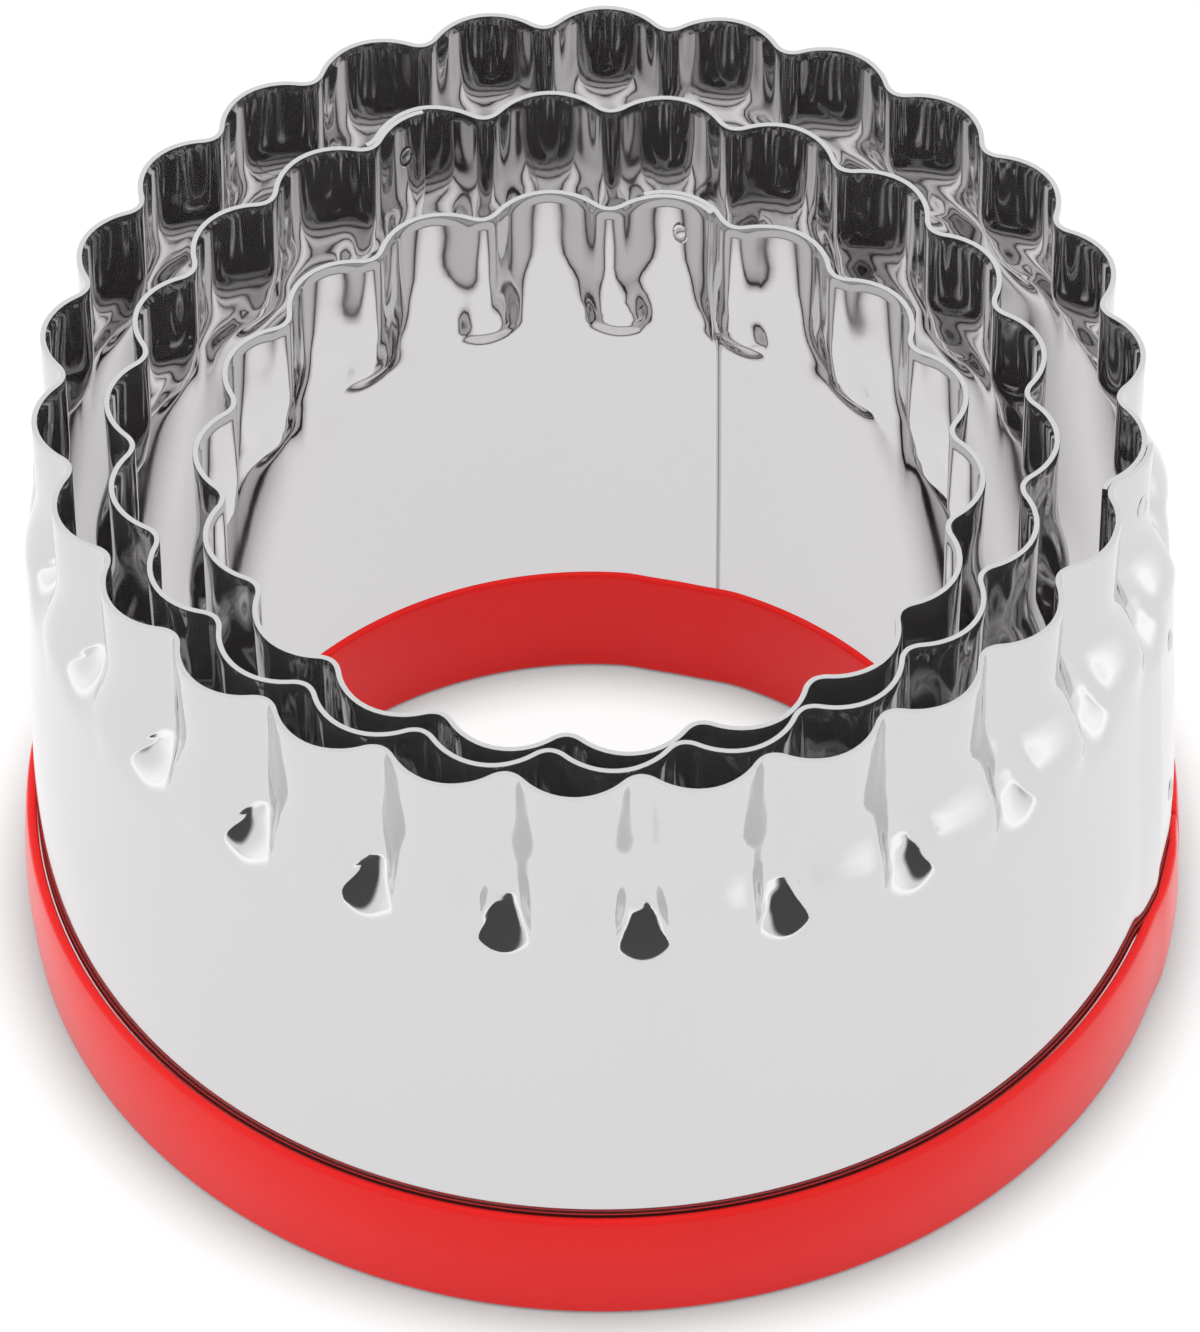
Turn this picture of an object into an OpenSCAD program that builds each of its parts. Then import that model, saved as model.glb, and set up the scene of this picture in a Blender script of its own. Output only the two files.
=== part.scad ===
// Nested set of three fluted round cutters. Each one is a rolled strip of steel, welded where
// its ends lap, with a soft edging pushed on the plain end. They stand on the edging.

/* [Set] */
// Outside diameter of the largest strip at its plain end
set_d = 82.5; // [72:0.5:100]
// Step in diameter from one cutter to the next
size_step = 12.7; // [10.5:0.1:15]
// Height of the cutters from the foot to the cutting edge
cutter_h = 50.8; // [44:0.2:62]
// How much lower the smallest cutter stands
inner_drop = 0.65; // [0:0.05:2]
// Room between the edgings of the largest and the middle cutter where they meet
middle_gap = 0.5; // [0.25:0.05:1.2]
// Room between the edgings of the middle and the smallest cutter where they meet
inner_gap = 0.25; // [0.25:0.05:1.2]
// Room that the fluted walls of two cutters keep at least
crown_gap = 0.25; // [0.1:0.05:1]
// Direction in which the middle cutter has slid
middle_slide_a = 247; // [0:1:360]
// Direction in which the smallest cutter has slid from the middle one
inner_slide_a = 278; // [0:1:360]
// How far the crown of the largest cutter was pressed off the middle of its base, to the left
crown_shift = 0.7; // [0:0.1:1]

/* [Strip] */
// Thickness of the steel
strip_t = 0.4; // [0.3:0.05:0.5]
// Length over which the two ends of a strip lie on each other
lap_len = 5.5; // [4:0.5:8]
// Air between the lapped ends
lap_air = 0.03; // [0.02:0.01:0.08]
// Length over which the strip eases outwards before it laps
ease_len = 4; // [3:0.5:8]

/* [Flutes] */
// Length of plain strip that goes into one flute
flute_len = 9.97; // [8:0.01:13]
// Depth of a groove on the largest cutter
groove_depth = 1.96; // [1.2:0.02:2.4]
// How much shallower the grooves get from one cutter to the next
depth_step = 0.04; // [0:0.02:0.2]
// How much pressing the flutes lengthens the strip
press_stretch = 1.031; // [1:0.001:1.08]
// Share of a flute that its narrow groove takes
groove_share = 0.22; // [0.15:0.01:0.4]
// Height of the straight fluted crown below the cutting edge
crown_h = 7.5; // [6:0.5:9]
// Distance below the cutting edge at which the grooves end in a ledge
ledge_h = 12; // [10.5:0.5:14]
// Distance below the cutting edge at which the ledge has run out into the plain wall
runout_h = 16; // [15:0.5:19]
// Share of the way in from the plain wall to the ridges that the wall has leaned there
lean_in = 0.18; // [0:0.01:0.3]
// The same share at the ledge
ledge_in = 0.3; // [0.3:0.01:0.6]
// The same share at the lower end of the crown
crown_in = 0.95; // [0.85:0.01:1]
// Depth of the pinched grooves at the ledge for each millimetre of depth in the crown
pinch = 1.1; // [1:0.02:1.3]

/* [Edging] */
// Height of the edging
edging_h = 10; // [8:0.1:14]
// Thickness of its outside leg at the middle of its height
leg_out = 1.05; // [0.9:0.05:1.6]
// Thickness of its inside leg at the middle of its height
leg_in = 0.8; // [0.7:0.05:1.2]
// How far the outside leg swells between its lip and its foot
swell_out = 0.3; // [0:0.05:0.4]
// How far the inside leg swells
swell_in = 0.15; // [0:0.05:0.3]
// Thickness of the web below the strip
web_t = 1.2; // [0.8:0.1:2]
// Play on each side of the strip in the slot
slot_play = 0.05; // [0.03:0.01:0.1]
// Width of the flat foot
foot_w = 0.8; // [0.6:0.1:1.2]
// Gap where the two ends of the edging meet
butt_gap = 0.3; // [0.1:0.1:1]

/* [Hidden] */
steel = "#c9cacc";
red = "#e53935";
$fn = 96;
columns = 8;
plain_above_edging = 1.7;
slide_step = 0.1;

middle_d = set_d - size_step;
inner_d = set_d - 2 * size_step;
middle_depth = groove_depth - depth_step;
inner_depth = groove_depth - 2 * depth_step;
inner_h = cutter_h - inner_drop;

// Where each strip starts, and one groove of each crown, in degrees from +X
outer_seam = 344;
outer_groove = 95.03;
middle_seam = 110;
middle_groove = 102.47;
inner_seam = 70.5;
inner_groove = 106.66;

// Outer and inner radius of the edging on a strip of the outside diameter d, and the radius of the
// middle of the strip itself
function edging_out(d) = d / 2 + slot_play + leg_out;
function edging_in(d) = d / 2 - strip_t - slot_play - leg_in;
function mid_of(d) = (d - strip_t) / 2;
// Angle that a length along that strip takes
function angle_of(len, d) = len / mid_of(d) * 180 / PI;
function polar(r, a) = [r * cos(a), r * sin(a)];

// A flute is a broad arc outwards and a narrow arc inwards that meet at a common tangent.
// Its pitch is found from the length of strip in it by repeated correction.
function half_turn(p, depth) = 2 * atan(2 * depth / p);
function chord_of(len, a) = len * sin(a) / (a * PI / 180);
function pitch_of(len, depth, p, tries = 12) =
    tries == 0 ? p : pitch_of(len, depth, chord_of(len, half_turn(p, depth)), tries - 1);
function arc_sum(p, depth) = (p * p / 4 + depth * depth) / (2 * depth);

// Height of the flute above its groove at the distance x from the groove's middle
function flute_rise(x, p, depth) =
    let (both = arc_sum(p, depth), narrow = both * groove_share, broad = both - narrow)
    x < p / 2 * groove_share
        ? narrow - sqrt(narrow * narrow - x * x)
        : depth - broad + sqrt(broad * broad - (p / 2 - x) * (p / 2 - x));

// Levels of the fluted part: distance below the cutting edge, share of the way in from the plain
// wall to the ridges, share of the groove's depth
fluted_levels = [[runout_h, lean_in, 0], [ledge_h, ledge_in, pinch], [crown_h, crown_in, 1], [0, 1, 1]];

// A crown: number of flutes, their pitch and depth, the angle of one groove, radius of the ridges,
// radius of the plain wall
function crown_of(d, depth, groove) =
    let (mid_r = mid_of(d),
         flutes = round(2 * PI * mid_r / flute_len),
         len = 2 * PI * mid_r / flutes * press_stretch,
         p = pitch_of(len, depth, len))
    [flutes, p, depth, groove, flutes * p / (2 * PI) + depth / 2, mid_r];

// Share of its groove's depth that a crown has at the angle a
function groove_at(crown, a) =
    let (flutes = crown[0], p = crown[1], depth = crown[2], groove = crown[3],
         u = (a - groove) / 360 * flutes, v = u - floor(u))
    1 - flute_rise(min(v, 1 - v) * p, p, depth) / depth;

// Radius of the strip on a level at the angle a
function wall_r(crown, level, a) =
    let (depth = crown[2], ridge_r = crown[4], mid_r = crown[5])
    mid_r + (ridge_r - mid_r) * level[1] - depth * level[2] * groove_at(crown, a);

// Least room on any fluted level inside the big cutter, which is off the middle of its base by the
// shift, when the middle of the small one lies at the place at
function crown_room(big, small, shift, at) =
    min([for (level = fluted_levels) for (b = [0 : 359])
        let (point = at + [shift * level[1], 0] + polar(wall_r(small, level, b), b))
        wall_r(big, level, atan2(point.y, point.x)) - strip_t - norm(point)]);

// How far a cutter slides in the direction a: as far as the edgings let it, or until the fluted
// walls come too near
function slide_of(big, small, shift, edging_room, a) =
    edging_room <= 0 || crown_room(big, small, shift, polar(edging_room, a)) >= crown_gap
        ? edging_room
        : slide_of(big, small, shift, edging_room - slide_step, a);

outer_crown = crown_of(set_d, groove_depth, outer_groove);
middle_crown = crown_of(middle_d, middle_depth, middle_groove);
inner_crown = crown_of(inner_d, inner_depth, inner_groove);
middle_room = edging_in(set_d) - edging_out(middle_d) - middle_gap;
inner_room = edging_in(middle_d) - edging_out(inner_d) - inner_gap;
middle_slide = slide_of(outer_crown, middle_crown, crown_shift, middle_room, middle_slide_a);
inner_slide = slide_of(middle_crown, inner_crown, 0, inner_room, inner_slide_a);
middle_at = polar(middle_slide, middle_slide_a);
inner_at = middle_at + polar(inner_slide, inner_slide_a);

// How far the strip has eased outwards at the angle a past its start
function eased(a, full_a) = max(0, min(1, 1 - (360 - a) / full_a)) * (strip_t + lap_air);

module rolled_strip(d, h, crown, seam, shift = 0) {
    flutes = crown[0];
    groove = crown[3];
    step = 360 / flutes / columns;
    start = groove + step * round((seam - groove) / step);
    lap_a = angle_of(lap_len, d);
    ease_a = angle_of(ease_len, d);
    last = flutes * columns + ceil(lap_a / step);
    levels = concat([[web_t, 0, 0], [edging_h + plain_above_edging, 0, 0]],
                    [for (level = fluted_levels) [h - level[0], level[1], level[2]]]);
    function turn(i) = min(i * step, 360 + lap_a);
    function mid_at(t, level) =
        polar(wall_r(crown, level, start + t) + eased(t, ease_a), start + t) - [shift * level[1], 0];
    function across(t, level) =
        let (along = mid_at(t + step / 4, level) - mid_at(t - step / 4, level))
        [along.y, -along.x] / norm(along);
    function skin(i, level, side) =
        let (flat = mid_at(turn(i), level) + side * strip_t / 2 * across(turn(i), level))
        [flat.x, flat.y, level[0]];
    row = last + 1;
    top = len(levels) - 1;
    back = row * len(levels);
    outside = [for (level = levels) for (i = [0 : last]) skin(i, level, 1)];
    inside = [for (level = levels) for (i = [0 : last]) skin(i, level, -1)];
    function quad(a, b, c, e) = [[a, b, c], [a, c, e]];
    wall = [for (j = [0 : top - 1]) for (i = [0 : last - 1]) let (k = j * row + i)
        each concat(quad(k, k + row, k + row + 1, k + 1),
                    quad(back + k, back + k + 1, back + k + row + 1, back + k + row))];
    rims = [for (i = [0 : last - 1]) let (k = top * row + i)
        each concat(quad(i, i + 1, back + i + 1, back + i),
                    quad(k, back + k, back + k + 1, k + 1))];
    ends = [for (j = [0 : top - 1]) let (k = j * row, m = k + last)
        each concat(quad(k, back + k, back + k + row, k + row),
                    quad(m, m + row, back + m + row, back + m))];
    polyhedron(concat(outside, inside), concat(wall, rims, ends), convexity = 10);
}

function arc(x, y, r, from, to, n = 6) =
    [for (k = [0 : n]) [x, y] + polar(r, from + (to - from) * k / n)];

// A leg's face from the height z0 to z1, out by the swell at the middle
function face(x, swell, z0, z1, n = 8) =
    [for (k = [1 : n - 1]) let (t = 2 * k / n - 1) [x - swell * t * t, z0 + (z1 - z0) * k / n]];

// Section of the edging: two swelling legs with round lips, round lower corners and a flat foot
module edging_section(d) {
    in_r = edging_in(d);
    out_r = edging_out(d);
    foot_in = in_r + swell_in;
    foot_out = out_r - swell_out;
    corner = (foot_out - foot_in - foot_w) / 2;
    lip_out = (leg_out - swell_out) / 2;
    lip_in = (leg_in - swell_in) / 2;
    slot_out = out_r - leg_out;
    slot_in = in_r + leg_in;
    polygon(concat(
        arc(foot_in + corner, corner, corner, 180, 270),
        arc(foot_out - corner, corner, corner, -90, 0),
        face(out_r, swell_out, corner, edging_h - lip_out),
        arc(slot_out + lip_out, edging_h - lip_out, lip_out, 0, 180),
        [[slot_out, web_t], [slot_in, web_t]],
        arc(slot_in - lip_in, edging_h - lip_in, lip_in, 0, 180),
        face(in_r, -swell_in, edging_h - lip_in, corner)
    ));
}

// The edging starts and ends where the outer end of the strip lies, and its slot is wider
// over the lap, where it takes two thicknesses
module edging(d, seam) {
    ease_a = angle_of(ease_len, d);
    gap_a = angle_of(butt_gap, d);
    butt_a = seam + angle_of(lap_len, d) + ease_a / 2;
    wide_a = seam - 1.5 * ease_a;
    difference() {
        rotate([0, 0, butt_a + gap_a / 2]) rotate_extrude(angle = 360 - gap_a) edging_section(d);
        rotate([0, 0, wide_a]) rotate_extrude(angle = butt_a - wide_a)
            translate([d / 2, web_t]) square([slot_play + strip_t + lap_air, edging_h]);
    }
}

module outer_band() {
    color(steel) rolled_strip(set_d, cutter_h, outer_crown, outer_seam, crown_shift);
}

module outer_edging() {
    color(red) edging(set_d, outer_seam);
}

module middle_band() {
    color(steel) translate(middle_at)
        rolled_strip(middle_d, cutter_h, middle_crown, middle_seam);
}

module middle_edging() {
    color(red) translate(middle_at) edging(middle_d, middle_seam);
}

module inner_band() {
    color(steel) translate(inner_at)
        rolled_strip(inner_d, inner_h, inner_crown, inner_seam);
}

module inner_edging() {
    color(red) translate(inner_at) edging(inner_d, inner_seam);
}

outer_band();
outer_edging();
middle_band();
middle_edging();
inner_band();
inner_edging();
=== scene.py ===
import math
import random
import bpy
from mathutils import Matrix, Vector


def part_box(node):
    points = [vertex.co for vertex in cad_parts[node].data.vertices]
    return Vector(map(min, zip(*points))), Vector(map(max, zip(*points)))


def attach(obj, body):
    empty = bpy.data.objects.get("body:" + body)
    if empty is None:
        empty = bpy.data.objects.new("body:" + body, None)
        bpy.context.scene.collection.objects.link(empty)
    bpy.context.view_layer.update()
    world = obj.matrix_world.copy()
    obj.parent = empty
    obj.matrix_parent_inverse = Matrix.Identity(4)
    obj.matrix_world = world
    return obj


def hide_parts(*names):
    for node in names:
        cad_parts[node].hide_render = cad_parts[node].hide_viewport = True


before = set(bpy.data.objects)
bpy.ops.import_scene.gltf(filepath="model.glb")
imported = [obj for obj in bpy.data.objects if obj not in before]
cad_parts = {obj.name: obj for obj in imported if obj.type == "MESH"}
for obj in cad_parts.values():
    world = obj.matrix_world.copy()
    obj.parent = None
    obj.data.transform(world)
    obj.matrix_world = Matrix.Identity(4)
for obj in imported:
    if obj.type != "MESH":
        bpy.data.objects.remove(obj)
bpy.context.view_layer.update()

mm = 0.001
roundAngle = math.radians(40)       # faces that meet at less than this are shaded as one


def linear(hexColour):
    parts = [int(hexColour[k:k + 2], 16) / 255 for k in (1, 3, 5)]
    return [c / 12.92 if c <= 0.04045 else ((c + 0.055) / 1.055) ** 2.4 for c in parts] + [1]


def addNode(tree, kind, values=None, **settings):
    node = tree.nodes.new(kind)
    for name, value in settings.items():
        setattr(node, name, value)
    for socket, value in (values or {}).items():
        if isinstance(value, bpy.types.NodeSocket):
            tree.links.new(value, node.inputs[socket])
        else:
            node.inputs[socket].default_value = value
    return node


def newMaterial(name):
    material = bpy.data.materials.new(name)
    material.use_nodes = True
    material.node_tree.nodes.clear()
    return material, material.node_tree


def polishedStainless():
    # Rolled stainless strip with a bright finish: near mirror, scattering a little light, with faint
    # ripples from rolling and fine upright hairlines where the press tools rubbed
    look = {"colour": "#d2d2d3", "metallic": 0.97, "hazeAt": (0.35, 0.65), "roughness": (0.04, 0.09),
            "ripple": 8, "rippleHeight": 0.003, "hairline": 0.35, "hairlineLong": 9, "hairlineHeight": 0.0009}
    material, tree = newMaterial("polishedStainless")
    place = addNode(tree, "ShaderNodeTexCoord")
    ripple = addNode(tree, "ShaderNodeTexNoise", {"Vector": place.outputs["Object"],
                     "Scale": 1 / (look["ripple"] * mm), "Detail": 2.0})
    rippled = addNode(tree, "ShaderNodeBump", {"Height": ripple.outputs["Fac"], "Strength": 1.0,
                      "Distance": look["rippleHeight"] * mm})
    upright = addNode(tree, "ShaderNodeMapping", {"Vector": place.outputs["Object"],
                      "Scale": (1, 1, look["hairline"] / look["hairlineLong"])})
    hairline = addNode(tree, "ShaderNodeTexNoise", {"Vector": upright.outputs["Vector"],
                       "Scale": 1 / (look["hairline"] * mm), "Detail": 1.0})
    lined = addNode(tree, "ShaderNodeBump", {"Height": hairline.outputs["Fac"], "Strength": 1.0,
                    "Distance": look["hairlineHeight"] * mm, "Normal": rippled.outputs["Normal"]})
    haze = addNode(tree, "ShaderNodeMapRange", {"Value": ripple.outputs["Fac"],
                   "From Min": look["hazeAt"][0], "From Max": look["hazeAt"][1],
                   "To Min": look["roughness"][0], "To Max": look["roughness"][1]})
    metal = addNode(tree, "ShaderNodeBsdfPrincipled", {"Base Color": linear(look["colour"]),
                    "Metallic": look["metallic"], "Roughness": haze.outputs["Result"],
                    "Normal": lined.outputs["Normal"]})
    addNode(tree, "ShaderNodeOutputMaterial", {"Surface": metal.outputs["BSDF"]})
    return material


def paintedHighlightCorner():
    # The two rounded corners of the strip's sheared edge, in a whiter metal than the strip: a painted
    # highlight for the light those corners catch
    look = {"colour": "#f0f0f0", "roughness": 0.4}
    material, tree = newMaterial("paintedHighlightCorner")
    metal = addNode(tree, "ShaderNodeBsdfPrincipled", {"Base Color": linear(look["colour"]),
                    "Metallic": 1.0, "Roughness": look["roughness"]})
    addNode(tree, "ShaderNodeOutputMaterial", {"Surface": metal.outputs["BSDF"]})
    return material


def shearedEdge():
    # The sheared edge between those corners, torn grey and granular
    look = {"colour": "#bebebf", "pits": "#3c3c3d", "pitsAt": (0.36, 0.52), "roughness": 0.42,
            "grain": 0.3, "grainHeight": 0.05}
    material, tree = newMaterial("shearedEdge")
    place = addNode(tree, "ShaderNodeTexCoord")
    grain = addNode(tree, "ShaderNodeTexNoise", {"Vector": place.outputs["Object"],
                    "Scale": 1 / (look["grain"] * mm), "Detail": 3.0})
    pits = addNode(tree, "ShaderNodeMapRange", {"Value": grain.outputs["Fac"],
                   "From Min": look["pitsAt"][0], "From Max": look["pitsAt"][1]})
    tone = addNode(tree, "ShaderNodeMix", {"Factor": pits.outputs["Result"], 6: linear(look["pits"]),
                   7: linear(look["colour"])}, data_type="RGBA")
    grained = addNode(tree, "ShaderNodeBump", {"Height": grain.outputs["Fac"], "Strength": 1.0,
                      "Distance": look["grainHeight"] * mm})
    metal = addNode(tree, "ShaderNodeBsdfPrincipled", {"Base Color": tone.outputs[2],
                    "Metallic": 1.0, "Roughness": look["roughness"], "Normal": grained.outputs["Normal"]})
    addNode(tree, "ShaderNodeOutputMaterial", {"Surface": metal.outputs["BSDF"]})
    return material


def glossyVinyl():
    # Moulded soft PVC: saturated, smooth and glossy, with the soft unevenness of a pushed-on edging
    look = {"colour": "#ee1f1c", "darker": "#e51b19", "roughness": 0.22, "ior": 1.48, "specular": 0.22,
            "cloud": 9, "dimple": 2.4, "dimpleHeight": 0.006}
    material, tree = newMaterial("glossyVinyl")
    place = addNode(tree, "ShaderNodeTexCoord")
    cloud = addNode(tree, "ShaderNodeTexNoise", {"Vector": place.outputs["Object"],
                    "Scale": 1 / (look["cloud"] * mm), "Detail": 2.0})
    tone = addNode(tree, "ShaderNodeMix", {"Factor": cloud.outputs["Fac"], 6: linear(look["darker"]),
                   7: linear(look["colour"])}, data_type="RGBA")
    dimple = addNode(tree, "ShaderNodeTexNoise", {"Vector": place.outputs["Object"],
                     "Scale": 1 / (look["dimple"] * mm), "Detail": 1.0})
    uneven = addNode(tree, "ShaderNodeBump", {"Height": dimple.outputs["Fac"], "Strength": 1.0,
                     "Distance": look["dimpleHeight"] * mm})
    vinyl = addNode(tree, "ShaderNodeBsdfPrincipled", {"Base Color": tone.outputs[2],
                    "Roughness": look["roughness"], "IOR": look["ior"],
                    "Specular IOR Level": look["specular"], "Normal": uneven.outputs["Normal"]})
    addNode(tree, "ShaderNodeOutputMaterial", {"Surface": vinyl.outputs["BSDF"]})
    return material


def active(obj):
    bpy.ops.object.select_all(action="DESELECT")
    obj.select_set(True)
    bpy.context.view_layer.objects.active = obj


def modify(obj, kind, **settings):
    modifier = obj.modifiers.new(kind.title(), kind)
    for name, value in settings.items():
        setattr(modifier, name, value)
    active(obj)
    bpy.ops.object.modifier_apply(modifier=modifier.name)


# What all three strips share, in millimetres. Pairs that go to smooth() are distances below the cutting
# edge, or heights above the foot of the ledge for noseUp, between which something comes or goes.
strip = {
    "thickness": 0.4, "lapLength": 5.5, "lapAir": 0.03, "easeLength": 4, "edgeRound": 0.06,
    "stretch": 1.031,                           # how much pressing lengthens it
    "grooveShare": 0.22,                        # the narrow groove's share of a flute
    "leanLow": (35.8, 12.8, 0.28),              # the wall leans in slowly, by a share of the way to the crown
    "leanHigh": (13.2, 6.6, 0.72),              # and then faster under the crown
    "flankSoft": 0.25, "flankSofter": (2.5, 6.5), "waveSkew": 0.75,     # the groove's sides get softer
    "shallower": 0.55, "shallowing": (8, 13),   # and its depth less towards its end
    "noseWide": 1.9, "noseBlunt": 4, "noseUp": (8, 4),  # but there the round nose of the press sinks in deep
    "ledgeFoot": 15.1, "ledgeSlope": 0.68,      # where the ledge at the groove's end starts, and its slope
    "ledgeSoft": (0.5, 0.08), "ledgeCurl": 0.26,    # its foot is soft and curls up, more so to the sides
    "ledgeRaise": 1.6, "raiseToward": 212,      # the press stood a little higher on one side, in degrees
    "raiseFollows": (0, 9), "raiseEnds": (24, 16.5),    # how far up and down the rows of points follow that
    "mergeSharp": 3, "creaseSharp": 9,          # how sharply the nose meets the groove, and both the ledge
    "dentShift": -0.35, "shifting": (5, 13),    # the ledges lie a little beside their grooves
    "shiftScatter": 0.25, "raiseScatter": 0.25, "depthScatter": 0.05,
    "foldAt": (1.4, 2.6), "foldHeight": 0.13, "foldWide": 0.22, "foldLong": 0.55, "foldTilt": 35,
    "foldScatter": 0.25, "leftFolds": (0.8, 1.3), "rightFolds": (0.0, 0.6),     # small folds by each ledge
    "columnsPerFlute": 28, "grooveColumns": 0.36, "grooveWidth": 0.24,   # most columns lie in the grooves
    "rows": ((24, 2.4), (17.2, 1.0), (10.9, 0.24), (0, 1.0)),   # row spacing down to each distance
}

# Each cutter: how many flutes, how deep, where its strip starts and where one groove lies, in degrees, how
# far its crown was pressed off the middle of its base, and how deep the press's nose went. Its spot welds
# give the distance below the cutting edge, the share of the lap's length, and 1 for the outside or -1 for
# the inside. The butt of an edging is at the lap, or else at an angle of its own.
cutters = [
    {"name": "outer", "flutes": 26, "depth": 1.96, "seam": 344, "groove": 95.03, "crownShift": 0.7,
     "nose": 1.9, "seed": 3, "welds": ((4.3, 0.62, 1), (4.3, 0.62, -1), (17.5, 0.6, 1), (33, 0.6, 1))},
    {"name": "middle", "flutes": 22, "depth": 1.92, "seam": 110, "groove": 102.47, "crownShift": 0,
     "nose": 1.8, "seed": 5, "welds": ((4.0, 0.45, 1), (3.7, 0.3, -1), (18, 0.5, 1), (33, 0.5, 1))},
    {"name": "inner", "flutes": 18, "depth": 1.88, "seam": 70.5, "groove": 106.66, "crownShift": 0,
     "nose": 1.7, "seed": 8, "welds": ((3.6, 0.5, 1), (3.3, 0.48, -1), (18, 0.5, 1), (33, 0.5, 1)),
     "butt": 270},
]


def smooth(low, high, x):
    t = min(1, max(0, (x - low) / (high - low)))
    return t * t * (3 - 2 * t)


def softAbove(x, soft):
    # 0 below zero and x above it, with a soft start
    return soft * math.log1p(math.exp(x / soft)) if -30 * soft < x < 30 * soft else max(x, 1e-9)


def measured(cutter):
    # Centre, radius and height of a strip, in millimetres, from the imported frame. The crown is narrower
    # than the base, and the lap stands out at one side, so the radius is half of the lesser width.
    low, high = (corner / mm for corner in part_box(cutter["name"] + "_band"))
    lowEdging, highEdging = (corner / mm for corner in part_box(cutter["name"] + "_edging"))
    radius = min(high.x - low.x, high.y - low.y) / 2
    lapUp = math.sin(math.radians(cutter["seam"])) > 0.5
    return {"x": (low.x + high.x) / 2 if lapUp else low.x + radius,
            "y": low.y + radius if lapUp else (low.y + high.y) / 2,
            "radius": radius, "bottom": low.z, "top": high.z, "edgingTop": highEdging.z}


def flutePitch(length, depth):
    pitch = length
    for _ in range(20):
        half = 2 * math.atan(2 * depth / pitch)
        pitch = length * math.sin(half) / half
    return pitch


def fluteRise(x, pitch, depth, soft):
    # Two arcs that meet at a common tangent, narrow in the groove and broad on the ridge, softened to a wave
    both = (pitch * pitch / 4 + depth * depth) / (2 * depth)
    narrow = both * strip["grooveShare"]
    broad = both - narrow
    if x < pitch / 2 * strip["grooveShare"]:
        arcs = narrow - math.sqrt(narrow * narrow - x * x)
    else:
        arcs = depth - broad + math.sqrt(broad * broad - (pitch / 2 - x) ** 2)
    wave = depth * (1 - math.cos(math.pi * (2 * x / pitch) ** strip["waveSkew"])) / 2
    return arcs + (wave - arcs) * soft


def crowd(even, near, width):
    # Squeezes the columns of each flute within near of its groove into width, and spreads the others
    groove = math.floor(even + 0.5)
    off = abs(even - groove)
    place = off / near * width if off < near else width + (off - near) / (0.5 - near) * (0.5 - width)
    return groove + math.copysign(place, even - groove)


def pressRaise(angle):
    # How much higher the press stood at an angle round the strip
    return strip["ledgeRaise"] * max(0, math.cos(angle - math.radians(strip["raiseToward"]))) ** 3


def makeDents(cutter):
    # No two grooves end quite alike: each has its own shift, raise, depth and folds
    luck = random.Random(cutter["seed"])
    dents = []
    for k in range(cutter["flutes"]):
        angle = math.radians(cutter["groove"]) + 2 * math.pi * k / cutter["flutes"]
        dents.append({
            "shift": strip["dentShift"] + luck.uniform(-1, 1) * strip["shiftScatter"],
            "raise": pressRaise(angle) + luck.uniform(-1, 1) * strip["raiseScatter"],
            "deep": 1 + luck.uniform(-1, 1) * strip["depthScatter"],
            "folds": [(side, luck.uniform(*strip[kind]), luck.uniform(-1, 1) * strip["foldScatter"])
                      for side, kind in ((-1, "leftFolds"), (1, "rightFolds"))],
        })
    return dents


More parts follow.
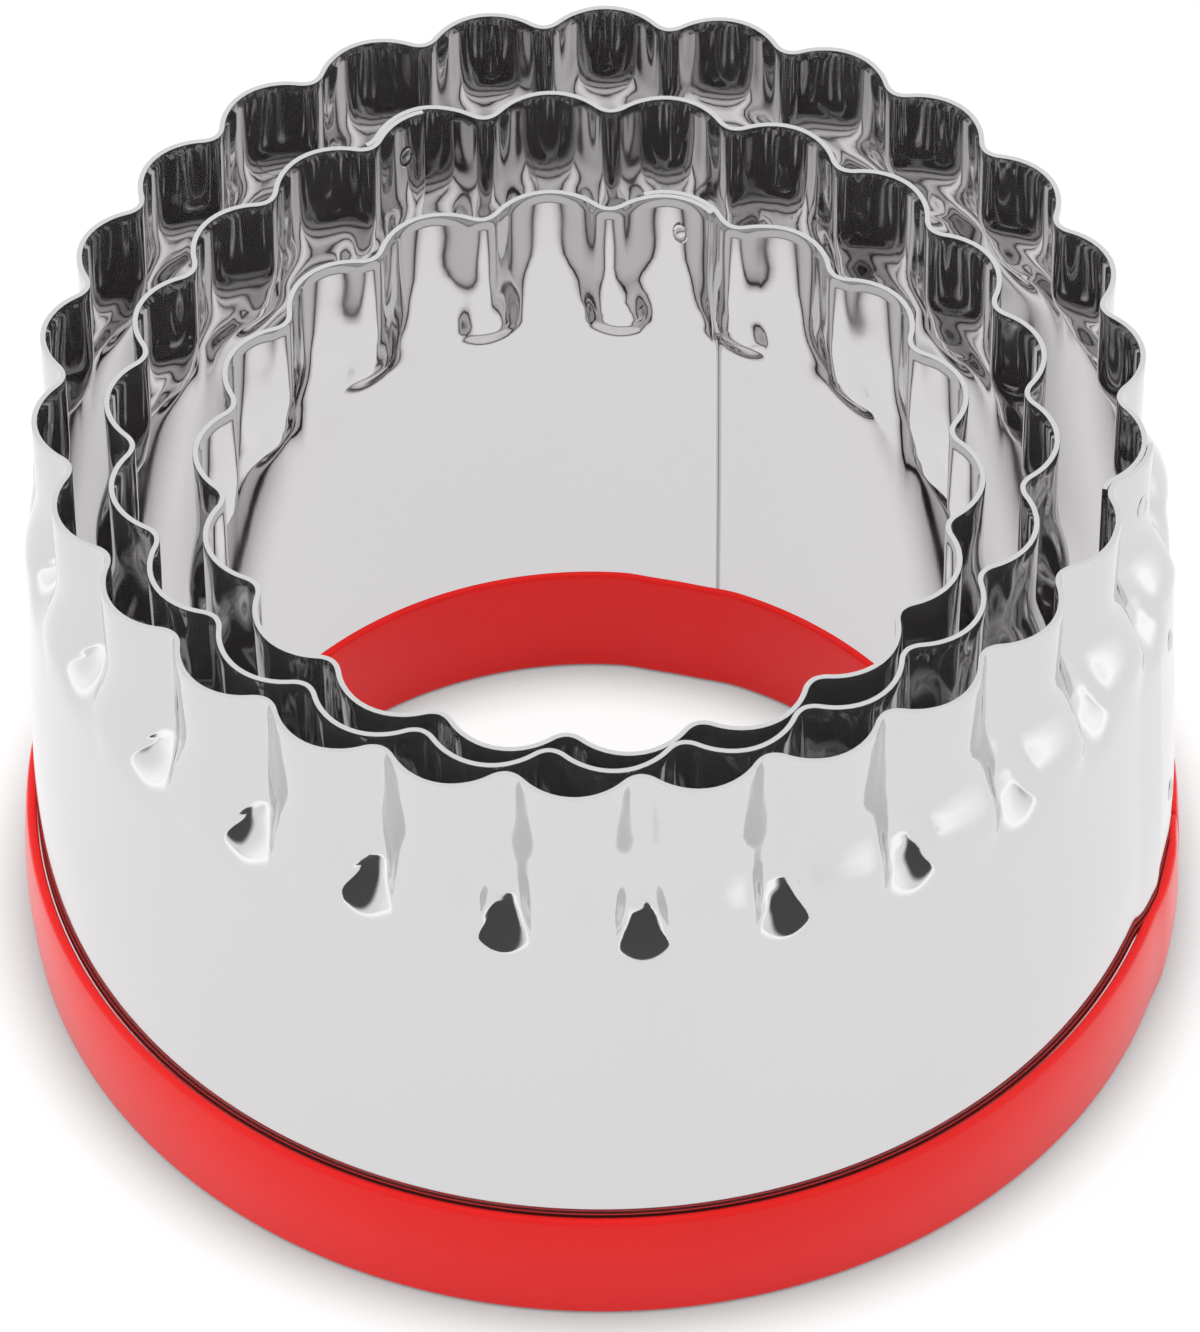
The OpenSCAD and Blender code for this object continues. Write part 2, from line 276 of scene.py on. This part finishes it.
def wallOf(cutter, size):
    # Everything about a strip's wall, and the function that places a point on its middle surface
    midRadius = size["radius"] - strip["thickness"] / 2
    flutes, depth = cutter["flutes"], cutter["depth"]
    pitch = flutePitch(2 * math.pi * midRadius / flutes * strip["stretch"], depth)
    ridge = flutes * pitch / (2 * math.pi) + depth / 2
    groove, start = math.radians(cutter["groove"]), math.radians(cutter["seam"])
    easeAngle = strip["easeLength"] / midRadius
    dents = makeDents(cutter)

    def pressed(share, below):
        # How far the press pushed the wall in: the deeper of groove and nose, but no deeper than the ledge,
        # and less at the small folds beside it
        nearest = math.floor(share + 0.5)
        x = (share - nearest) * pitch
        dent = dents[nearest % flutes]
        beside = x - dent["shift"] * smooth(*strip["shifting"], below)
        up = strip["ledgeFoot"] - dent["raise"] - below
        soft = strip["flankSoft"] + (1 - strip["flankSoft"]) * smooth(*strip["flankSofter"], below)
        deep = depth - fluteRise(abs(x), pitch, depth, soft)
        deep *= 1 - strip["shallower"] * smooth(*strip["shallowing"], below)
        nose = cutter["nose"] * dent["deep"] * smooth(*strip["noseUp"], up)
        nose *= math.exp(-(beside / strip["noseWide"]) ** strip["noseBlunt"])
        merge, sharp = strip["mergeSharp"], strip["creaseSharp"]
        deep = (deep ** merge + nose ** merge) ** (1 / merge)
        footSoft = strip["ledgeSoft"][0] + strip["ledgeSoft"][1] * beside ** 2
        ledge = strip["ledgeSlope"] * softAbove(up - strip["ledgeCurl"] * beside ** 2, footSoft)
        inward = deep * ledge / max(deep ** sharp + ledge ** sharp, 1e-60) ** (1 / sharp)
        for side, strength, along in dent["folds"]:
            tilt = math.radians(strip["foldTilt"]) * side
            dx, dz = beside - side * strip["foldAt"][0], up - strip["foldAt"][1] - along
            across = (dx * math.cos(tilt) + dz * math.sin(tilt)) / strip["foldWide"]
            length = (dz * math.cos(tilt) - dx * math.sin(tilt)) / strip["foldLong"]
            inward -= strip["foldHeight"] * strength * math.exp(-across * across - length * length)
        return inward

    def place(turn, below):
        angle = start + turn
        share = (angle - groove) / (2 * math.pi) * flutes
        lean = sum(part * smooth(low, high, below)
                   for low, high, part in (strip["leanLow"], strip["leanHigh"]))
        eased = min(1, max(0, 1 - (2 * math.pi - turn) / easeAngle)) * (strip["thickness"] + strip["lapAir"])
        radius = midRadius + (ridge - midRadius) * lean - pressed(share, below) + eased
        return Vector((size["x"] + radius * math.cos(angle) - cutter["crownShift"] * lean,
                       size["y"] + radius * math.sin(angle), size["top"] - below))

    def follow(turn, below):
        # The close rows rise and fall with the ledges
        share = smooth(*strip["raiseFollows"], below) * smooth(*strip["raiseEnds"], below)
        return below - pressRaise(start + turn) * share

    lapAngle = strip["lapLength"] / midRadius
    near, width = strip["grooveColumns"], strip["grooveWidth"]
    first, last = (crowd((angle - groove) / (2 * math.pi) * flutes, width, near)
                   for angle in (start, start + 2 * math.pi + lapAngle))
    count = math.ceil((last - first) * strip["columnsPerFlute"])
    turns = [crowd(first + (last - first) * k / count, near, width) / flutes * 2 * math.pi + groove - start
             for k in range(count + 1)]
    return {"place": place, "follow": follow, "turns": turns, "midRadius": midRadius, "lapAngle": lapAngle}


def rowHeights(bottom, top):
    # Rows lie close together where the grooves end, and far apart on the plain wall
    below, rows = top - bottom, []
    for until, gap in strip["rows"]:
        count = math.ceil((below - until) / gap)
        rows += [below - (below - until) * k / count for k in range(count)]
        below = until
    return rows + [0]


def rollStrip(cutter, size, wall):
    # One upright line of points, extruded row by row, is spun a full turn and the lap
    rows = rowHeights(size["bottom"], size["top"])
    bpy.ops.object.select_all(action="DESELECT")
    bpy.ops.mesh.primitive_plane_add(size=mm, location=(wall["midRadius"] * mm, 0, size["bottom"] * mm))
    band = bpy.context.object
    band.name = cutter["name"] + "Strip"
    bpy.ops.object.mode_set(mode="EDIT")
    bpy.ops.mesh.select_all(action="SELECT")
    bpy.ops.mesh.merge(type="CENTER")
    for low, high in zip(rows, rows[1:]):
        bpy.ops.mesh.extrude_vertices_move(TRANSFORM_OT_translate={"value": (0, 0, (low - high) * mm)})
    bpy.ops.mesh.select_all(action="SELECT")
    bpy.ops.mesh.spin(steps=len(wall["turns"]) - 1, angle=wall["turns"][-1], center=(0, 0, 0), axis=(0, 0, 1))
    bpy.ops.object.mode_set(mode="OBJECT")
    bpy.ops.object.transform_apply(location=True, rotation=True, scale=True)

    # Pressing the flutes: each point moves in or out along its own radius
    for index, point in enumerate(band.data.vertices):
        turn = wall["turns"][index // len(rows)]
        point.co = wall["place"](turn, wall["follow"](turn, size["top"] - point.co.z / mm)) * mm
    modify(band, "SOLIDIFY", thickness=strip["thickness"] * mm, offset=0, use_quality_normals=True,
           material_offset_rim=1)
    # the bevel's rounded corners take the third material, the painted highlight
    modify(band, "BEVEL", width=strip["edgeRound"] * mm, segments=2, limit_method="ANGLE",
           angle_limit=math.radians(60), material=2)
    active(band)
    bpy.ops.object.mode_set(mode="EDIT")
    bpy.ops.mesh.select_all(action="SELECT")
    bpy.ops.mesh.normals_make_consistent(inside=False)
    bpy.ops.object.mode_set(mode="OBJECT")
    bpy.ops.object.shade_smooth_by_angle(angle=roundAngle)
    return band


def weldMark(wall, below, share, side):
    # A spot weld leaves a shallow oval with a raised rim. It is aimed by points beside it on the wall.
    mark = {"radius": 0.66, "tall": 1.6, "rim": 0.13, "raised": 0.09, "middle": 0.3, "sunk": 0.14,
            "proud": 0.01, "besideTurn": 0.01, "above": 0.2, "corners": 32}
    turn = 2 * math.pi + wall["lapAngle"] * share if side > 0 else wall["lapAngle"] * share
    here = wall["place"](turn, below)
    along = (wall["place"](turn + mark["besideTurn"], below)
             - wall["place"](turn - mark["besideTurn"], below))
    upward = wall["place"](turn, below - mark["above"]) - wall["place"](turn, below + mark["above"])
    out = along.cross(upward).normalized() * side
    upright = (upward - out * upward.dot(out)).normalized()
    bpy.ops.object.select_all(action="DESELECT")
    bpy.ops.mesh.primitive_circle_add(vertices=mark["corners"], radius=mark["radius"] * mm, fill_type="NGON")
    weld = bpy.context.object
    bpy.ops.object.mode_set(mode="EDIT")
    bpy.ops.mesh.select_all(action="SELECT")
    bpy.ops.mesh.extrude_region_move(TRANSFORM_OT_translate={"value": (0, 0, mark["sunk"] * mm)})
    bpy.ops.mesh.inset(thickness=mark["rim"] * mm, depth=mark["raised"] * mm)
    bpy.ops.mesh.inset(thickness=mark["rim"] * mm, depth=-mark["raised"] * mm)
    bpy.ops.mesh.inset(thickness=mark["rim"] * mm, depth=mark["raised"] * mark["middle"] * mm)
    bpy.ops.object.mode_set(mode="OBJECT")
    surface = here + out * (strip["thickness"] / 2 - mark["sunk"] + mark["proud"])
    turned = Matrix((upright.cross(out), upright * mark["tall"], out)).transposed().to_4x4()
    weld.data.transform(Matrix.Translation(surface * mm) @ turned)
    active(weld)
    bpy.ops.object.shade_smooth_by_angle(angle=roundAngle)
    return weld


# The edgings in millimetres; lipTurn in degrees, and the last three count steps
edging = {"outsideLeg": 1.05, "insideLeg": 0.8, "swellOut": 0.3, "swellIn": 0.15, "web": 1.2, "play": 0.05,
          "foot": 0.8, "buttGap": 0.12, "endRound": 0.25,
          "bulge": 0.25, "bulgeWide": 0.6,          # how far the lap spreads it, over what share of the lap
          "lipProud": 0.01, "lipTurn": 345,         # the outer lip's own mesh: how proud, and how far round
          "spinSteps": 360, "arcSteps": 8, "faceSteps": 10}


def roundEnds(piece):
    # The two cut ends of an edging are rounded off: the only faces with many corners are inset twice
    active(piece)
    bpy.ops.object.mode_set(mode="EDIT")
    for share in (0.35, 0.65):
        bpy.ops.mesh.select_all(action="DESELECT")
        bpy.ops.mesh.select_face_by_sides(number=4, type="GREATER", extend=False)
        bpy.ops.mesh.inset(thickness=edging["endRound"] * share * mm,
                           depth=edging["endRound"] * (1 - share) * mm)
    bpy.ops.object.mode_set(mode="OBJECT")


def spinOutline(name, outline, gap):
    # An outline drawn in the XZ plane, filled and spun round Z, but for a gap
    bpy.ops.object.select_all(action="DESELECT")
    bpy.ops.mesh.primitive_plane_add(size=mm, location=(outline[0][0] * mm, 0, outline[0][1] * mm))
    piece = bpy.context.object
    piece.name = name
    bpy.ops.object.mode_set(mode="EDIT")
    bpy.ops.mesh.select_all(action="SELECT")
    bpy.ops.mesh.merge(type="CENTER")
    for (x0, z0), (x1, z1) in zip(outline, outline[1:]):
        bpy.ops.mesh.extrude_vertices_move(
            TRANSFORM_OT_translate={"value": ((x1 - x0) * mm, 0, (z1 - z0) * mm)})
    bpy.ops.mesh.select_all(action="SELECT")
    bpy.ops.mesh.edge_face_add()
    bpy.ops.mesh.select_all(action="SELECT")
    bpy.ops.mesh.spin(steps=edging["spinSteps"], angle=2 * math.pi - gap, center=(0, 0, 0), axis=(0, 0, 1))
    bpy.ops.mesh.select_all(action="SELECT")
    bpy.ops.mesh.remove_doubles(threshold=1e-6)
    bpy.ops.mesh.normals_make_consistent(inside=False)
    bpy.ops.object.mode_set(mode="OBJECT")
    bpy.ops.object.transform_apply(location=True, rotation=True, scale=True)
    return piece


def pushOnEdging(cutter, size, wall):
    # A U section with swelling legs and round lips, spun round the strip. The outer cutter's outside lip
    # is a solid of its own, because the steel is to mirror that lip but not the rest of the red.
    slotIn = size["radius"] - strip["thickness"] - edging["play"]
    slotOut = size["radius"] + edging["play"]
    low, high = slotIn - edging["insideLeg"], slotOut + edging["outsideLeg"]
    footLow, footHigh = low + edging["swellIn"], high - edging["swellOut"]
    top, web = size["edgingTop"], edging["web"]
    corner = (footHigh - footLow - edging["foot"]) / 2
    lipOut = (edging["outsideLeg"] - edging["swellOut"]) / 2
    lipIn = (edging["insideLeg"] - edging["swellIn"]) / 2

    def arc(x, z, radius, first, last):
        stops = [first + (last - first) * k / edging["arcSteps"] for k in range(edging["arcSteps"] + 1)]
        return [(x + radius * math.cos(math.radians(a)), z + radius * math.sin(math.radians(a)))
                for a in stops]

    def face(x, swell, z0, z1):
        stops = [k / edging["faceSteps"] for k in range(1, edging["faceSteps"])]
        return [(x - swell * (2 * t - 1) ** 2, z0 + (z1 - z0) * t) for t in stops]

    outline = (arc(footLow + corner, corner, corner, 180, 270)
               + arc(footHigh - corner, corner, corner, -90, 0)
               + face(high, edging["swellOut"], corner, top - lipOut)
               + arc(slotOut + lipOut, top - lipOut, lipOut, 0, 180)
               + [(slotOut, web), (slotIn, web)]
               + arc(slotIn - lipIn, top - lipIn, lipIn, 0, 180)
               + face(low, -edging["swellIn"], top - lipIn, corner))
    gap = (edging["buttGap"] + 2 * edging["endRound"]) / wall["midRadius"]
    pieces = [spinOutline(cutter["name"] + "Edging", outline, gap)]
    roundEnds(pieces[0])
    if cutter["name"] == "outer":
        lip = arc(slotOut + lipOut, top - lipOut, lipOut + edging["lipProud"], 0, edging["lipTurn"])
        pieces.append(spinOutline("outerEdgingLip", lip, gap))
    seam = math.radians(cutter["seam"])
    turn = seam + wall["lapAngle"] + strip["easeLength"] / 2 / wall["midRadius"] + gap / 2
    if "butt" in cutter:
        turn = math.radians(cutter["butt"])
    for piece in pieces:
        for point in piece.data.vertices:           # its legs are spread where the strip is doubled
            radius = math.hypot(point.co.x, point.co.y)
            angle = math.atan2(point.co.y, point.co.x) + turn
            off = math.remainder(angle - seam - wall["lapAngle"] / 2, 2 * math.pi)
            spread = edging["bulge"] * math.exp(-(off / wall["lapAngle"] / edging["bulgeWide"]) ** 4) * mm
            point.co.xy *= 1 + math.copysign(spread, radius - wall["midRadius"] * mm) / radius
        piece.data.transform(Matrix.Translation(Vector((size["x"], size["y"], 0)) * mm)
                             @ Matrix.Rotation(turn, 4, "Z"))
        active(piece)
        bpy.ops.object.shade_smooth_by_angle(angle=roundAngle)
    return pieces


def makeCutters():
    steel, sheared, corner, vinyl = polishedStainless(), shearedEdge(), paintedHighlightCorner(), glossyVinyl()
    for cutter in cutters:
        size = measured(cutter)
        wall = wallOf(cutter, size)
        body = cutter["name"] + "_cutter"
        band = rollStrip(cutter, size, wall)
        print(cutter["name"], "strip rolled:", len(band.data.polygons), "faces, radius",
              round(size["radius"], 2), "at", round(size["x"], 2), round(size["y"], 2))
        band.data.materials.append(steel)
        band.data.materials.append(sheared)
        # the bevelled corners: whiter metal as a painted highlight
        band.data.materials.append(corner)
        welds = [weldMark(wall, *weld) for weld in cutter["welds"]]
        for weld in welds:
            weld.data.materials.append(steel)
        active(band)
        for weld in welds:
            weld.select_set(True)
        bpy.ops.object.join()
        print(cutter["name"], "seam welded")
        band.visible_diffuse = False        # its bright walls hand light on, so they don't shade what is matt
        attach(band, body)
        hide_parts(cutter["name"] + "_band")
        for piece in pushOnEdging(cutter, size, wall):
            piece.data.materials.append(vinyl)
            piece.visible_glossy = piece.name == "outerEdgingLip"   # else the crowns would mirror red
            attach(piece, body)
            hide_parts(cutter["name"] + "_edging")
            print(piece.name, "pushed on:", len(piece.data.polygons), "faces")


# The camera looks down on the set from the front. Lengths in millimetres, angles in degrees.
photoView = {"elevation": 47.046, "roll": 0.21, "distance": 656.49, "right": -0.109, "up": 15.098,
             "focalPixels": 8879.3, "tallPixels": 1332, "sensor": 36}


def placeCamera():
    e, roll = math.radians(photoView["elevation"]), math.radians(photoView["roll"])
    back = Vector((0, -math.cos(e), math.sin(e)))
    right, up = Vector((1, 0, 0)), Vector((0, math.sin(e), math.cos(e)))
    across = right * math.cos(roll) - up * math.sin(roll)
    upright = right * math.sin(roll) + up * math.cos(roll)
    place = (back * photoView["distance"] + right * photoView["right"] + up * photoView["up"]) * mm
    camera = bpy.data.objects.new("photoCamera", bpy.data.cameras.new("photoCamera"))
    bpy.context.scene.collection.objects.link(camera)
    turned = Matrix((across, upright, back)).transposed().to_4x4()
    camera.matrix_world = Matrix.Translation(place) @ turned
    camera.data.sensor_width = photoView["sensor"]
    camera.data.lens = photoView["focalPixels"] * photoView["sensor"] / photoView["tallPixels"]
    bpy.context.scene.camera = camera


def whiteTable():
    # A matt white table. What is seen of it, by the camera or in the steel, is lifted so that it stays
    # white, and the lift fades close to whatever stands on it, which leaves a tight soft shadow. The steel
    # sees it brighter far out to the sides: near and far are distances in metres and the brightness there,
    # and of what lies in front or behind only the share depthCounts goes into that distance.
    table = {"size": 3, "bounce": 0.8, "seenMatt": 0.15, "lift": 0.88,
             "near": (0.15, 1.04), "far": (0.35, 1.45), "depthCounts": 0.05,
             "shadowReach": 4.5, "closed": 0.05, "open": 0.95}
    bpy.ops.object.select_all(action="DESELECT")
    bpy.ops.mesh.primitive_plane_add(size=table["size"], location=(0, 0, 0))
    floor = bpy.context.object
    floor.name = "whiteTable"
    material, tree = newMaterial("mattWhite")
    path = addNode(tree, "ShaderNodeLightPath")
    place = addNode(tree, "ShaderNodeTexCoord")
    narrowed = addNode(tree, "ShaderNodeMapping", {"Vector": place.outputs["Object"],
                       "Scale": (1, table["depthCounts"], 1)})
    distance = addNode(tree, "ShaderNodeVectorMath", {0: narrowed.outputs["Vector"]}, operation="LENGTH")
    brighter = addNode(tree, "ShaderNodeMapRange", {"Value": distance.outputs["Value"],
                       "From Min": table["near"][0], "From Max": table["far"][0],
                       "To Min": table["near"][1], "To Max": table["far"][1]})
    mirrored = addNode(tree, "ShaderNodeMath", {0: path.outputs["Is Glossy Ray"],
                       1: brighter.outputs["Result"]}, operation="MULTIPLY")
    seen = addNode(tree, "ShaderNodeMath", {0: path.outputs["Is Camera Ray"], 1: mirrored.outputs[0]},
                   operation="MAXIMUM")
    around = addNode(tree, "ShaderNodeAmbientOcclusion", {"Distance": table["shadowReach"] * mm}, samples=4)
    fade = addNode(tree, "ShaderNodeMapRange", {"Value": around.outputs["AO"], "From Min": table["closed"],
                   "From Max": table["open"], "To Min": 0.0, "To Max": table["lift"]})
    lift = addNode(tree, "ShaderNodeMath", {0: seen.outputs[0], 1: fade.outputs["Result"]},
                   operation="MULTIPLY")
    tone = addNode(tree, "ShaderNodeMapRange", {"Value": seen.outputs[0], "To Min": table["bounce"],
                   "To Max": table["seenMatt"]})
    matt = addNode(tree, "ShaderNodeBsdfDiffuse", {"Color": tone.outputs["Result"]})
    glow = addNode(tree, "ShaderNodeEmission", {"Color": (1, 1, 1, 1), "Strength": lift.outputs[0]})
    both = addNode(tree, "ShaderNodeAddShader", {0: matt.outputs[0], 1: glow.outputs[0]})
    addNode(tree, "ShaderNodeOutputMaterial", {"Surface": both.outputs[0]})
    floor.data.materials.append(material)


def softLight():
    # World: even for what is matt, and for what mirrors a pale tent, brighter low at its sides, with a dark
    # opening in front for the camera. The opening is an ellipsoid of directions, and inside and outside are
    # the shares of its size between which dark turns to pale.
    tent = {"even": 0.8, "horizon": 1.0, "pale": 1.02, "paleFrom": 0.35,
            "sides": 0.4, "sidesAt": (0.8, 1.0), "sidesFrom": 0.05, "dark": 0.065,
            "opening": (0.03, -0.75, 0.45), "openingSize": (0.86, 1.0, 0.6), "inside": 0.9, "outside": 1.08}
    world = bpy.data.worlds.new("tent")
    world.use_nodes = True
    bpy.context.scene.world = world
    tree = world.node_tree
    tree.nodes.clear()
    place = addNode(tree, "ShaderNodeTexCoord")
    aimed = addNode(tree, "ShaderNodeVectorMath", {0: place.outputs["Generated"], 1: tent["opening"]},
                    operation="SUBTRACT")
    widened = addNode(tree, "ShaderNodeVectorMath", {0: aimed.outputs["Vector"], 1: tent["openingSize"]},
                      operation="DIVIDE")
    facing = addNode(tree, "ShaderNodeVectorMath", {0: widened.outputs["Vector"]}, operation="LENGTH")
    parts = addNode(tree, "ShaderNodeSeparateXYZ", {"Vector": place.outputs["Generated"]})
    wall = addNode(tree, "ShaderNodeMapRange", {"Value": parts.outputs["Z"], "From Min": 0.0,
                   "From Max": tent["paleFrom"], "To Min": tent["horizon"], "To Max": tent["pale"]})
    aside = addNode(tree, "ShaderNodeMath", {0: parts.outputs["X"]}, operation="ABSOLUTE")
    sides = addNode(tree, "ShaderNodeMapRange", {"Value": aside.outputs[0], "From Min": tent["sidesAt"][0],
                    "From Max": tent["sidesAt"][1], "To Min": 0.0, "To Max": tent["sides"]})
    low = addNode(tree, "ShaderNodeMapRange", {"Value": parts.outputs["Z"], "From Min": tent["sidesFrom"],
                  "From Max": tent["paleFrom"], "To Min": 1.0, "To Max": 0.0})
    bright = addNode(tree, "ShaderNodeMath", {0: sides.outputs["Result"], 1: low.outputs["Result"],
                     2: wall.outputs["Result"]}, operation="MULTIPLY_ADD")
    shade = addNode(tree, "ShaderNodeMapRange", {"Value": facing.outputs["Value"],
                    "From Min": tent["outside"], "From Max": tent["inside"],
                    "To Min": bright.outputs[0], "To Max": tent["dark"]}, interpolation_type="SMOOTHSTEP")
    path = addNode(tree, "ShaderNodeLightPath")
    chosen = addNode(tree, "ShaderNodeMapRange", {"Value": path.outputs["Is Glossy Ray"], "From Min": 0.0,
                     "From Max": 1.0, "To Min": tent["even"], "To Max": shade.outputs["Result"]})
    seen = addNode(tree, "ShaderNodeMath", {0: chosen.outputs["Result"], 1: path.outputs["Is Camera Ray"]},
                   operation="MAXIMUM")
    light = addNode(tree, "ShaderNodeBackground", {"Color": (1, 1, 1, 1), "Strength": seen.outputs[0]})
    addNode(tree, "ShaderNodeOutputWorld", {"Surface": light.outputs[0]})

    # Softboxes, placed and sized in metres
    lamps = [
        {"name": "leftSoftbox", "at": (-0.55, -0.12, 0.3), "size": (0.35, 0.45), "radiance": 2.2},
        {"name": "rightSoftbox", "at": (0.55, -0.05, 0.3), "size": (0.35, 0.45), "radiance": 1.5},
        {"name": "topSoftbox", "at": (0.0, 0.3, 0.6), "size": (0.6, 0.35), "radiance": 1.1},
    ]
    for lamp in lamps:
        data = bpy.data.lights.new(lamp["name"], "AREA")
        data.shape = "RECTANGLE"
        data.size, data.size_y = lamp["size"]
        data.energy = lamp["radiance"] * math.pi * data.size * data.size_y
        holder = bpy.data.objects.new(lamp["name"], data)
        bpy.context.scene.collection.objects.link(holder)
        holder.visible_glossy = False       # what mirrors sees the tent, which these lamps light
        holder.matrix_world = (Matrix.Translation(Vector(lamp["at"]))
                               @ (-Vector(lamp["at"])).to_track_quat("-Z", "Y").to_matrix().to_4x4())


bpy.context.scene.view_settings.view_transform = "Standard"
placeCamera()
print("camera placed")
makeCutters()
whiteTable()
print("table laid")
softLight()
print("lights set")
